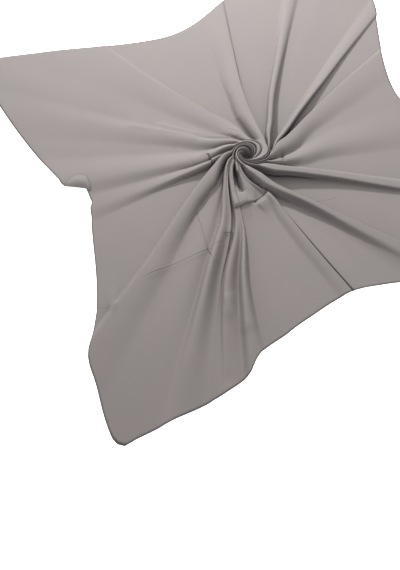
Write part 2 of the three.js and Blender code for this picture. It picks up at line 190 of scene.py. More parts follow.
HEM_SIDES = (
    HemSide("front", ((248.1, 724), (249.4, 703), (253.8, 652), (261, 586), (266.3, 543), (268.8, 520),
        (270.1, 494), (272.2, 469), (278.5, 440), (285.9, 415), (296.7, 397), (306, 404), (316, 448),
        (325, 520), (332, 610), (336, 690))),
    HemSide("right", ((338, 724), (339.6, 702), (344, 644), (352, 574), (2, 505), (12, 440), (23, 404),
        (34, 414), (45, 470), (55, 566), (63, 672), (66.5, 722))),
    HemSide("back", ((68, 728), (69.5, 704), (74, 640), (82, 566), (93, 494), (105, 424), (117, 402),
        (129, 430), (140, 496), (149, 590), (155, 678), (157.2, 720))),
    HemSide("left", ((158.4, 726), (160, 700), (165, 630), (173, 548), (182, 478), (187.4, 446),
        (190.1, 434), (191.2, 405), (192.2, 388), (195, 383), (198.1, 381), (198.9, 387), (203.2, 394),
        (214.5, 427), (221.8, 461), (227.7, 505), (231, 548), (233.4, 594), (238.8, 641), (244.5, 706),
        (246.4, 724))),
)


@dataclass(frozen=True)
class Crease:
    """A crease pressed or pulled into the cloth, from one point to another, with a label as name.

    rise is the height of its ridge, or the depth of its trough where it is negative. left and right
    are half its width on each side, seen along the crease.
    """

    name: str
    start: Pair
    end: Pair
    rise: float
    left: float
    right: float


CREASES = tuple(Crease(*row) for row in (
    ("packing_across", (-250, -308), (-77, -224), 1.4, 22, 8),
    ("left_step", (-350, -378), (-290, -367), 3.5, 26, 5),
    ("lower_diagonal", (-66, -340), (-14, -440), 3.5, 24, 7),
    ("short_right", (75, 10), (79, -28), -4.0, 4, 5),
    ("dart", (-102, 8), (-84, -32), -4.0, 3, 14),
    ("small_left", (-66, -200), (-36, -189), 2.5, 18, 5),
    ("facet_left", (-46, -134), (18, -110), 6.0, 20, 5),
    ("valley_right", (4, -124), (38, -92), -7.0, 24, 4),
    ("pillow_right", (14, -130), (46, -102), 5.0, 6, 20),
    ("soft_lower", (-57, -380), (-54, -560), -3.0, 16, 16),
    ("top_left_line", (-10, 51), (-150, 60), 2.5, 6, 20),
    ("top_left_line_out", (-120, 57), (-300, 94), 2.5, 6, 24),
    ("top_left_fold", (-110, 60), (-225, 97), 2.5, 20, 5),
    ("hole_curl", (-24, -14), (6, -4), 7.0, 3, 4),
    ("wedge_end", (-34, -46), (-20, -101), -14.0, 5, 5),
))


@dataclass(frozen=True)
class PressedLine:
    """A hairline pressed into the crepe, too fine for the mesh.

    depth is how deep its groove is, or how high its ridge where it is negative.
    """

    start: Pair
    end: Pair
    depth: float
    width: float = 1.3


PRESSED_LINES = tuple(PressedLine(*row) for row in (
    ((-129, -124), (-88, -276), 0.5),
    ((-127, -124), (-86, -276), -0.5),
    ((-250, -308), (-77, -224), 0.4),
    ((-250, -305), (-77, -221), -0.45),
    ((-102, -226), (-82, -286), 0.9, 1.6),
    ((-99, -239), (-66, -221), 0.7, 1.5),
    ((-66, -203), (-34, -191), 0.9, 1.5),
    ((-42, -141), (20, -113), 2.6, 2.2),
    ((6, -121), (40, -90), 2.6, 2.2),
    ((-100, 6), (-84, -30), 3.0, 2.4),
    ((75, 10), (79, -28), 0.9, 1.6),
    ((70, 10), (74, -28), -0.5, 1.6),
    ((-213, 72), (-153, -5), 0.35),
    ((-150, -2), (-120, -30), 0.3),
    ((158, -54), (198, -90), 0.45),
    ((124, -121), (204, -103), 0.45),
    ((-54, 71), (-26, 60), 0.8, 1.6),
    ((-55, 46), (-40, 60), 0.8, 1.6),
    ((-350, -380), (-292, -369), 0.5, 1.5),
))


def curve(places: Array, values: Array, at: Array) -> Array:
    """Smooth curve through values at places, with its ends held.

    Args:
        places: where the values are given, rising.
        values: the values, one row for each thing asked, or one row for all.
        at: where each thing is asked.

    Returns:
        The value of the curve for each thing asked.
    """
    last = len(places) - 1
    held = np.clip(at, places[0], places[last])
    index = np.clip(np.searchsorted(places, held, side="right") - 1, 0, last - 1)
    rows = np.broadcast_to(values, held.shape + (last + 1,))
    slopes = np.empty_like(rows)
    slopes[..., 1:-1] = (rows[..., 2:] - rows[..., :-2]) / (places[2:] - places[:-2])
    slopes[..., 0] = (rows[..., 1] - rows[..., 0]) / (places[1] - places[0])
    slopes[..., -1] = (rows[..., -1] - rows[..., -2]) / (places[-1] - places[-2])

    def pick(table: Array, step: int) -> Array:
        """Each row's entry at its own index."""
        return np.take_along_axis(table, (index + step)[..., None], -1)[..., 0]

    span = places[index + 1] - places[index]
    t = (held - places[index]) / span
    t2, t3 = t * t, t * t * t
    from_values = pick(rows, 0) * (2 * t3 - 3 * t2 + 1) + pick(rows, 1) * (3 * t2 - 2 * t3)
    from_slopes = pick(slopes, 0) * (t3 - 2 * t2 + t) + pick(slopes, 1) * (t3 - t2)
    return from_values + from_slopes * span


def smooth_step(share: Array) -> Array:
    """Zero to one with level ends."""
    held = np.clip(share, 0.0, 1.0)
    return held * held * (3 - 2 * held)


def unwrapped(directions: Sequence[float]) -> list[float]:
    """Make directions continuous, so that each lies past the one before it.

    Args:
        directions: directions in degrees, in order around.

    Returns:
        The same directions, with full turns added where they are needed.
    """
    result = [directions[0]]
    for direction in directions[1:]:
        while direction < result[-1]:
            direction += FULL_TURN
        result.append(direction)
    return result


@dataclass
class ScarfPlan:
    """The form of the whole cloth, worked out from its lines, its hem and the rosette's profile.

    stations are the distances at which the lines' tables are given, and lift is how much higher the
    cloth stands at each than its line's rise. The lines wind on clockwise inside wind_radius, by
    wind_rate degrees for each millimetre once past wind_ease, down to wind_core. rosette_floor and
    rosette_groove give the height between strands and the strands' own height at rosette_radii. The
    ring is stretched and shifted in full inside ring_zone, and not at all outside it.
    """

    stations: Floats = (36, 60, 100, 170, 320, 600)
    rosette_radius: float = 36.0
    lift: Floats = (1.35, 1.35, 1.3, 1.25, 1.15, 1.0)
    wind_radius: float = 42.0
    wind_core: float = 5.0
    wind_rate: float = 7.0
    wind_ease: float = 6.0
    rosette_radii: Floats = (0, 6, 9, 12, 15, 21, 28, 36, 46)
    rosette_floor: Floats = (0, 0, 1, 7, 13, 17, 17, 14, 11)
    rosette_groove: Floats = (0, 1, 4, 11, 15, 17, 18, 19, 19)
    flare_start: float = 170.0
    strand_sharp: float = 0.4
    strand_blend: Pair = (36.0, 47.0)
    hole_shift: Pair = (-8.0, -4.0)
    hole_radius: float = 12.0
    ring_zone: Pair = (34.0, 76.0)
    ring_stretch: Pair = (0.1, -0.12)
    ring_shift: Pair = (2.0, -1.0)
    top: float = 1.2
    sharp_foot: float = 0.55
    soft_foot: float = 1.8
    near_share: float = 0.55
    far_ease: float = 0.6
    least_width: float = 0.01
    hem_passes: int = 14
    hem_step: float = 0.6
    lines: tuple[ClothLine, ...] = CLOTH_LINES
    hem: tuple[HemSide, ...] = HEM_SIDES

    def __post_init__(self) -> None:
        """Work out the tables that the methods read."""
        count = len(self.lines)
        turns = np.array([unwrapped([line.turn[k] for line in self.lines])
                          for k in range(len(self.stations))]).T
        self.turns = np.vstack([turns, turns[:1] + FULL_TURN])
        rises = np.array([line.rise for line in self.lines], float) * np.array(self.lift)
        self.rises = np.vstack([rises, rises[:1]])
        self.logs = np.log(np.array(self.stations, float))
        lines = list(self.lines) + [self.lines[0]]
        self.is_crest = np.array([line.kind is not LineKind.TROUGH for line in lines])

        def table(name: str, least: float = -math.inf) -> Array:
            """One value of every line, raised to least where it is lower."""
            return np.array([max(getattr(line, name), least) for line in lines], float)

        self.before, self.after, self.sharp = (table(name, 1) for name in ("before", "after", "sharp"))
        self.lean, self.full, self.flare = (table(name) for name in ("lean", "full", "flare"))
        wraps = [number for number, line in enumerate(self.lines) if line.wraps]
        self.wrap_places = np.array([wraps[-1] - count, *wraps, wraps[0] + count], float)
        directions, reach = zip(*(point for side in self.hem for point in side.points))
        at = unwrapped(directions)
        self.hem_places = np.array([at[-1] - FULL_TURN, *at, at[0] + FULL_TURN, at[1] + FULL_TURN])
        self.hem_reaches = np.array([reach[-1], *reach, reach[0], reach[1]], float)

    def columns(self) -> tuple[Array, Array]:
        """Lay out the mesh's columns.

        Returns:
            Each column's line, and its share of the way to the next line.
        """
        rows = [(number, step / line.columns) for number, line in enumerate(self.lines)
                for step in range(line.columns)]
        index, share = zip(*rows)
        return np.array(index), np.array(share)

    def turn_of(self, index: Array, radius: Array) -> Array:
        """Direction of lines. Inside the rosette they wind on clockwise.

        Args:
            index: the numbers of the lines.
            radius: their distance from the rosette's middle.

        Returns:
            The direction of each, in degrees.
        """
        outside = curve(self.logs, self.turns[index], np.log(np.maximum(radius, self.rosette_radius)))
        depth = np.clip(self.wind_radius - radius, 0.0, self.wind_radius - self.wind_core)
        return outside - self.wind_rate * depth * depth / (depth + self.wind_ease)

    def rise_of(self, index: Array, radius: Array) -> Array:
        """Height of lines over the flat cloth at a radius. It is held inside the rosette."""
        return np.maximum(0.0, curve(self.logs, self.rises[index],
                                     np.log(np.maximum(radius, self.rosette_radius))))

    def wound_rise(self, index: Array, share: Array, radius: Array) -> Array:
        """Height of the rosette's strands, which are the lines that wind all the way in.

        Args:
            index: the line that each point comes after.
            share: its share of the columns to the next line.
            radius: its distance from the rosette's middle.

        Returns:
            The height of each point over the flat cloth.
        """
        place = index + share
        strand = np.interp(place, self.wrap_places, np.arange(len(self.wrap_places)))
        off = np.abs(strand - np.round(strand))
        arch = np.cos(off * math.pi) ** self.strand_sharp
        radii = np.array(self.rosette_radii, float)
        floor = curve(radii, np.array(self.rosette_floor, float), radius)
        groove = curve(radii, np.array(self.rosette_groove, float), radius)
        return floor + groove * arch

    def between(self, index: Array, share: Array, radius: Array) -> tuple[Array, Array, Array]:
        """The cloth between two lines.

        Args:
            index: the line that each point comes after.
            share: its share of the columns to the next line.
            radius: its distance from the rosette's middle.

        Returns:
            The direction, the height and the sideways lean of each point.
        """
        after = index + 1
        start, end = self.turn_of(index, radius), self.turn_of(after, radius)
        low, high = self.rise_of(index, radius), self.rise_of(after, radius)
        from_crest, to_crest = self.is_crest[index], self.is_crest[after]
        width = np.maximum(np.radians(end - start) * radius, self.least_width)
        crest_reach = np.where(from_crest, self.after[index], self.before[after])
        flare, full, lean = (np.where(from_crest, table[index], table[after])
                             for table in (self.flare, self.full, self.lean))
        beyond = np.maximum(radius - self.flare_start, 0) / self.flare_start
        reach = np.minimum(width, crest_reach * (1 + flare * beyond))
        from_top = np.where(from_crest, share, 1 - share)
        away = self.spread(from_top, reach / width)
        down = np.clip(away * width / reach, 0, 1)
        sharp = np.where(from_crest, self.sharp[after], self.sharp[index])
        softness = smooth_step((radius - sharp) / sharp)
        power = self.sharp_foot + (self.soft_foot - self.sharp_foot) * softness
        bump = (1 - down ** full) ** power
        crest_rise = np.where(from_crest, low, high)
        foot_rise = np.where(from_crest, high, low)
        turn = np.where(from_crest, start + (end - start) * away, end - (end - start) * away)
        rise = foot_rise + (crest_rise - foot_rise) * bump
        alike = from_crest == to_crest
        turn = np.where(alike, start + (end - start) * share, turn)
        rise = np.where(alike, low + (high - low) * smooth_step(share), rise)
        near, far = self.strand_blend
        outside = smooth_step((radius - near) / (far - near))
        rise = rise * outside + self.wound_rise(index, share, radius) * (1 - outside)
        level = self.lean[index] + (self.lean[after] - self.lean[index]) * share
        return turn, rise, np.where(alike, level, lean * bump)

    def spread(self, share: Array, near: Array) -> Array:
        """Columns set closer on a crest's flank than on the flat cloth beyond it.

        Args:
            share: share of the columns, counted from the crest.
            near: share of the width that the flank takes.

        Returns:
            Share of the width, counted from the crest.
        """
        flank, ease = self.near_share, self.far_ease
        steep = np.minimum(near, flank) / flank
        free = 1 - steep
        past = np.clip((share - flank) / (1 - flank), 0, 1)
        close = np.sin(np.clip(share / flank, 0, 1) * math.pi / 2) * flank
        return steep * (close + past * (1 - flank)) + free * past * past * (1 + ease - ease * past)

    def hem_distance(self, turn: Array) -> Array:
        """Distance of the hem in a direction."""
        first = self.hem_places[1]
        return curve(self.hem_places, self.hem_reaches, first + (turn - first) % FULL_TURN)

    def reach_of(self, index: Array, share: Array) -> Array:
        """Find where each column meets the hem, closing in on it pass by pass.

        Args:
            index: the line that each column comes after.
            share: its share of the way to the next line.

        Returns:
            The radius at which each column meets the hem.
        """
        reach = np.full(index.shape, float(self.stations[-1]))
        for _ in range(self.hem_passes):
            turn, _, _ = self.between(index, share, reach)
            reach = reach + (self.hem_distance(turn) - reach) * self.hem_step
        return reach


@dataclass
class ClothGrid:
    """The cloth's top as a grid of points: a row for each ring, a column for each line or share.

    The rings crowd towards the rosette. The folds' lean sets in across lean_zone.
    """

    plan: ScarfPlan
    rosette_rings: int = 36
    laid_rings: int = 138
    ring_crowding: float = 1.5
    inner_radius: float = 1.5
    lean_zone: Pair = (20.0, 60.0)
    crease_ends: float = 6.0

    def points(self) -> Array:
        """Work out the cloth's top, ring by ring.

        Returns:
            Its points in millimetres about the rosette, by ring and column.
        """
        plan = self.plan
        index, share = plan.columns()
        reach = plan.reach_of(index, share)
        inside = np.linspace(self.inner_radius, plan.rosette_radius, self.rosette_rings, endpoint=False)
        rings = [np.full(index.shape, radius) for radius in inside]
        for ring in range(self.laid_rings + 1):
            part = (ring / self.laid_rings) ** self.ring_crowding
            rings.append(plan.rosette_radius + (reach - plan.rosette_radius) * part)
        radius = np.array(rings)
        turn, rise, lean = plan.between(np.broadcast_to(index, radius.shape),
                                        np.broadcast_to(share, radius.shape), radius)
        angle = np.radians(turn)
        settled = 1 - self.inside(radius, self.lean_zone)
        x = radius * np.cos(angle) - np.sin(angle) * lean * settled
        y = radius * np.sin(angle) + np.cos(angle) * lean * settled
        inward = self.inside(radius, (plan.hole_radius, plan.rosette_radius))
        x += plan.hole_shift[0] * inward
        y += plan.hole_shift[1] * inward
        ring = self.inside(radius, plan.ring_zone)
        x += (x * plan.ring_stretch[0] + plan.ring_shift[0]) * ring
        y += (y * plan.ring_stretch[1] + plan.ring_shift[1]) * ring
        z = plan.top + rise + self.creases(x, y)
        return np.stack([x, y, np.maximum(z, plan.top)], -1)

    def inside(self, radius: Array, zone: Pair) -> Array:
        """One inside the zone, zero outside it, and smooth between."""
        return 1 - smooth_step((radius - zone[0]) / (zone[1] - zone[0]))

    def creases(self, x: Array, y: Array) -> Array:
        """Add up the creases. Each fades over the share of its length that crease_ends gives.

        Args:
            x: where each point lies, to the right.
            y: where each point lies, to the back.

        Returns:
            The height that the creases add at each point.
        """
        total = np.zeros_like(x)
        for crease in CREASES:
            along = np.array(crease.end) - np.array(crease.start)
            length = float(np.hypot(*along))
            unit = along / length
            dx, dy = x - crease.start[0], y - crease.start[1]
            run = (dx * unit[0] + dy * unit[1]) / length
            side = dx * unit[1] - dy * unit[0]
            off = side / np.where(side > 0, crease.right, crease.left)
            fade = smooth_step(run * self.crease_ends) * smooth_step((1 - run) * self.crease_ends)
            total += crease.rise * fade * np.exp(-off * off)
        return total


def new_material(name: str, values: dict[str, object]) -> tuple[bpy.types.Material, bpy.types.Node]:
    """Make a material, with constants straight on its shader's sockets.

    Args:
        name: the material's name.
        values: the constant for each named socket.

    Returns:
        The material and its shader.
    """
    material = bpy.data.materials.new(name)
    material.use_nodes = True
    shader = material.node_tree.nodes["Principled BSDF"]
    for socket, value in values.items():
        shader.inputs[socket].default_value = value
    return material, shader


def add_node(tree: Tree, kind: str, inputs: dict[str | int, object], **options: str) -> bpy.types.Node:
    """Add a node to a material.

    Args:
        tree: the material's nodes.
        kind: the node's type.
        inputs: for each of its sockets, the socket that feeds it or its constant.
        options: the node's own settings.

    Returns:
        The node.
    """
    node = tree.nodes.new(kind)
    for option, value in options.items():
        setattr(node, option, value)
    for name, value in inputs.items():
        if isinstance(value, Socket):
            tree.links.new(value, node.inputs[name])
        else:
            node.inputs[name].default_value = value
    return node


def calculated(tree: Tree, operation: str, *sockets: Socket) -> Socket:
    """Work a sum on sockets in a material."""
    return add_node(tree, "ShaderNodeMath", dict(enumerate(sockets)), operation=operation).outputs[0]


def uneven_colour(tree: Tree, place: Socket, noise: Pair, first: Floats, second: Floats) -> Socket:
    """Make a colour that wanders between two.

    Args:
        tree: the material's nodes.
        place: the socket of the place on the piece.
        noise: the scale and the detail of the wandering.
        first: the colour where the noise is low.
        second: the colour where the noise is high.

    Returns:
        The colour's socket.
    """
    wander = add_node(tree, "ShaderNodeTexNoise", {"Vector": place, "Scale": noise[0], "Detail": noise[1]})
    colours = {"A": (*first, 1), "B": (*second, 1), "Factor": wander.outputs["Fac"]}
    return add_node(tree, "ShaderNodeMix", colours, data_type="RGBA").outputs["Result"]


@dataclass(frozen=True)
class CrepeFinish:
    """Matte crepe: a fine pebbled weave, faint warm and grey patches, and a soft sheen.

    patches and weave are the scale and the detail of their noise.
    """

    middle: Pair
    name: str = "crepe"
    warm: Triple = (0.253, 0.228, 0.222)
    grey: Triple = (0.227, 0.215, 0.212)
    patches: Pair = (9.0, 4.0)
    roughness: float = 0.88
    specular: float = 0.25
    sheen: float = 0.05
    sheen_roughness: float = 0.5
    weave: Pair = (1500.0, 2.0)
    weave_strength: float = 0.25
    weave_depth: float = 0.3
    line_fade: float = 0.15

    def material(self) -> bpy.types.Material:
        """Build the cloth's material on Object coordinates.

        Returns:
            The material.
        """
        material, shader = new_material(self.name, {
            "Roughness": self.roughness, "Specular IOR Level": self.specular,
            "Sheen Weight": self.sheen, "Sheen Roughness": self.sheen_roughness})
        tree = material.node_tree
        place = tree.nodes.new("ShaderNodeTexCoord").outputs["Object"]
        colour = uneven_colour(tree, place, self.patches, self.warm, self.grey)
        tree.links.new(colour, shader.inputs["Base Color"])
        pebble = add_node(tree, "ShaderNodeTexNoise", {
            "Vector": place, "Scale": self.weave[0], "Detail": self.weave[1]})
        bump = add_node(tree, "ShaderNodeBump", {
            "Strength": self.weave_strength, "Distance": self.weave_depth * MM,
            "Height": pebble.outputs["Fac"]})
        pressed = add_node(tree, "ShaderNodeBump", {
            "Strength": 1.0, "Distance": 1.0, "Height": self.pressed_height(tree, place),
            "Normal": bump.outputs["Normal"]})
        tree.links.new(pressed.outputs["Normal"], shader.inputs["Normal"])
        return material

    def pressed_height(self, tree: Tree, place: Socket) -> Socket:
        """Add up the heights of all the hairlines at a place."""
        heights = [self.line_height(tree, place, line) for line in PRESSED_LINES]
        return reduce(partial(calculated, tree, "ADD"), heights)

    def line_height(self, tree: Tree, place: Socket, line: PressedLine) -> Socket:
        """Make the height that one hairline adds: a round groove that runs out at both ends.

        Args:
            tree: the material's nodes.
            place: the socket of the place on the cloth.
            line: the hairline.

        Returns:
            The height's socket, in metres.
        """
        start = np.array(line.start) * MM + np.array(self.middle)
        along = (np.array(line.end) - np.array(line.start)) * MM
        length = float(np.hypot(*along))
        unit = along / length
        shifted = add_node(tree, "ShaderNodeVectorMath", {0: place, 1: (*start, 0)}, operation="SUBTRACT")

        def measured(direction: Pair, scale: float) -> Socket:
            """Distance from the start in a direction, times scale."""
            inputs = {0: shifted.outputs[0], 1: (direction[0] * scale, direction[1] * scale, 0)}
            return add_node(tree, "ShaderNodeVectorMath", inputs, operation="DOT_PRODUCT").outputs["Value"]

        def level(socket: Socket, low: float, high: float, top: float) -> Socket:
            """Smoothly from zero at low to top at high."""
            inputs = {"Value": socket, "From Min": low, "From Max": high, "To Max": top}
            node = add_node(tree, "ShaderNodeMapRange", inputs, interpolation_type="SMOOTHSTEP")
            return node.outputs["Result"]

        run = measured(tuple(unit), 1 / length)
        off = measured((unit[1], -unit[0]), 1 / (line.width * MM))
        ends = (level(run, 0.0, self.line_fade, 1.0), level(run, 1.0, 1 - self.line_fade, 1.0))
        groove = level(calculated(tree, "ABSOLUTE", off), 1.0, 0.0, -line.depth * MM)
        return calculated(tree, "MULTIPLY", calculated(tree, "MULTIPLY", *ends), groove)


@dataclass
class LaidScarf:
    """The whole cloth, from the rosette's hole to the hem, as one thin shell.

    Its underside has fewer points than its top, one for each ring_step rings and column_step columns,
    and keeps below all of the top's points around each.
    """

    plan: ScarfPlan
    middle: Pair
    shell: float = 0.9
    lowest: float = 0.25
    pole_drop: float = 0.4
    ring_step: int = 3
    column_step: int = 2
    cut_side: float = 1.1

    def top_points(self) -> Array:
        """The top's points, in millimetres about the rosette."""
        return ClothGrid(self.plan).points()

    def under_points(self, top: Array) -> Array:
        """Take the underside's points from the top's, let down by the shell's thickness.

        Args:
            top: the top's points, by ring and column.

        Returns:
            The underside's points, by row and column.
        """
        height = top[..., 2]
        low = height.copy()
        for _ in range(self.column_step):
            low = np.minimum(low, np.minimum(np.roll(low, 1, axis=1), np.roll(low, -1, axis=1)))
        for _ in range(self.ring_step):
            padded = np.pad(low, ((1, 1), (0, 0)), mode="edge")
            low = np.minimum(low, np.minimum(padded[:-2], padded[2:]))
        low[-1] = height[-1]
        rows = [*range(0, len(top) - 1, self.ring_step), len(top) - 1]
        under = top[rows][:, ::self.column_step].copy()
        under[..., 2] = np.maximum(low[rows][:, ::self.column_step] - self.shell, self.lowest)
        return under

    def build(self, top: Array, turned: tuple[Array, list]) -> bpy.types.Object:
        """Make the cloth's closed mesh.

        Args:
            top: the top's points, by ring and column, in millimetres about the rosette.
            turned: the points in metres and the faces of the turned stretch.

        Returns:
            The cloth, with its finish on.
        """
        under = self.under_points(top)
        rings, columns, _ = top.shape
        rows, halves, _ = under.shape
        number = np.arange(rings * columns).reshape(rings, columns)
        follow = np.roll(number, -1, axis=1)
        first = rings * columns
        below = first + np.arange(rows * halves).reshape(rows, halves)
        after = np.roll(below, -1, axis=1)
        top_pole = first + rows * halves
        quads = np.stack([number[:-1], number[1:], follow[1:], follow[:-1]], -1).reshape(-1, 4)
        fan = np.stack([np.full(columns, top_pole), number[0], follow[0]], -1)
        under_quads = np.stack([below[:-1], after[:-1], after[1:], below[1:]], -1).reshape(-1, 4)
        under_fan = np.stack([np.full(halves, top_pole + 1), after[0], below[0]], -1)
        last, beyond = number[-1], follow[-1]
        rim = np.stack([below[-1], after[-1], beyond[1::2], last[1::2], last[::2]], -1)
        drop = np.array([0, 0, self.pole_drop])
        poles = [top[0].mean(axis=0) - drop, under[0].mean(axis=0) - drop]
        poles[1][2] = max(self.lowest, poles[1][2])
        points = np.vstack([top.reshape(-1, 3), under.reshape(-1, 3), poles]) * MM
        points[:, :2] += np.array(self.middle)
        faces = [face for part in (quads, fan, under_quads, under_fan, rim) for face in part.tolist()]
        faces += [[corner + len(points) for corner in face] for face in turned[1]]
        cloth = mesh_object("scarf_cloth", np.vstack([points, turned[0]]), faces)
        cloth.data.materials.append(CrepeFinish(self.middle).material())
        return cloth


def mesh_object(name: str, points: Array, faces: list[list[int]]) -> bpy.types.Object:
    """Make a smooth mesh object at the origin.

    Args:
        name: the object's name.
        points: its points in metres.
        faces: the numbers of each face's points.

    Returns:
        The object, in the scene.
    """
    mesh = bpy.data.meshes.new(name)
    mesh.from_pydata(points.tolist(), [], faces)
    mesh.update()
    mesh.polygons.foreach_set("use_smooth", [True] * len(mesh.polygons))
    made = bpy.data.objects.new(name, mesh)
    bpy.context.scene.collection.objects.link(made)
    return made


@dataclass(frozen=True)
class TurnedEdge:
    """The stretch of the left edge that is turned up onto the cloth, so that its underside shows.

    base runs along the bend, and depths give how far over the cloth the edge reaches at each share
    of the base. The stretch swells up by puff between the bend and its free edge, and lies on the
    cloth found about ground_middle, within ground_reach.
    """

    base: tuple[Pair, ...] = ((-430, -76), (-380, -81), (-368, -86))
    shares: Floats = (0, 0.13, 0.28, 0.42, 0.6, 0.78, 0.87, 0.96, 1)
    depths: Floats = (1.5, 9.5, 21, 28.5, 30.5, 28, 24, 13, 4)
    columns: int = 48
    rows: int = 16
    bend: float = 1.6
    gap: float = 1.3
    gap_opening: float = 4.0
    puff: float = 5.0
    puff_skew: Pair = (0.8, 1.3)
    edge_lift: float = 1.2
    shell: float = 0.9
    ground_middle: Pair = (-400.0, -65.0)
    ground_reach: Pair = (60.0, 50.0)

    def sheet(self, top: Array) -> Array:
        """Lay the turned stretch over the cloth's top.

        Args:
            top: the top's points, by ring and column.

        Returns:
            The middle of the stretch's thickness, by row and column.
        """
        near = top.reshape(-1, 3)
        off = np.abs(near[:, :2] - np.array(self.ground_middle))
        near = near[(off < np.array(self.ground_reach)).all(axis=1)]
        base = np.array(self.base, float)
        run = np.concatenate([[0], np.cumsum(np.hypot(*np.diff(base, axis=0).T))])
        share = np.linspace(0, 1, self.columns)
        feet = np.stack([np.interp(share * run[-1], run, base[:, k]) for k in range(2)], -1)
        depth = np.interp(share, self.shares, self.depths)
        across, along = self.puff_skew
        layers = []
        for row in np.linspace(0, 1, self.rows):
            x = feet[:, 0]
            y = feet[:, 1] + depth * row - self.bend * (1 - row) ** 4
            gaps = (near[None, :, 0] - x[:, None]) ** 2 + (near[None, :, 1] - y[:, None]) ** 2
            ground = near[np.argmin(gaps, axis=1), 2]
            swell = self.puff * math.sin(math.pi * row ** across) * np.sin(math.pi * share ** along)
            rise = self.gap * min(1.0, row * self.gap_opening) + self.shell / 2 + self.edge_lift * row ** 3
            layers.append(np.stack([x, y, ground + rise + swell], -1))
        made = np.array(layers)
        made[..., 2] = evened(made[..., 2])
        return made

    def build(self, top: Array, middle: Pair) -> tuple[Array, list, Array]:
        """Make the turned stretch over the cloth's top.

        Args:
            top: the top's points, by ring and column.
            middle: the rosette's middle, in metres.

        Returns:
            Its points in metres, its faces, and its free edge in millimetres.
        """
        sheet = self.sheet(top)
        half = np.array([0, 0, self.shell / 2])
        points = np.vstack([(sheet + half).reshape(-1, 3), (sheet - half).reshape(-1, 3)])
        number = np.arange(self.rows * self.columns).reshape(self.rows, self.columns)
        under = number + number.size
        upper = np.stack([number[:-1, :-1], number[:-1, 1:], number[1:, 1:], number[1:, :-1]], -1)
        lower = np.stack([under[:-1, :-1], under[1:, :-1], under[1:, 1:], under[:-1, 1:]], -1)
        ring = [*number[0, :-1], *number[:-1, -1], *number[-1, :0:-1], *number[:0:-1, 0]]
        faces = upper.reshape(-1, 4).tolist() + lower.reshape(-1, 4).tolist()
        for first, second in zip(ring, ring[1:] + ring[:1]):
            faces.append([int(first), int(first + number.size), int(second + number.size), int(second)])
        placed = points * MM
        placed[:, :2] += np.array(middle)
        return placed, faces, sheet[-1]


def evened(values: Array, passes: int = 2) -> Array:
    """Average each value with its four neighbours.

    Args:
        values: a grid of values.
        passes: how many times this is done.

    Returns:
        The grid, evened out.
    """
    for _ in range(passes):
        padded = np.pad(values, 1, mode="edge")
        values = (padded[:-2, 1:-1] + padded[2:, 1:-1] + padded[1:-1, :-2] + padded[1:-1, 2:]
                  + 2 * values) / 6
    return values


def spokes(turns: Array, outward: Array, upward: Array) -> Array:
    """Turn from outward towards upward at each point, once for each of the turns."""
    turned = turns[None, :, None]
    return np.cos(turned) * outward[:, None] + np.sin(turned) * upward[:, None]


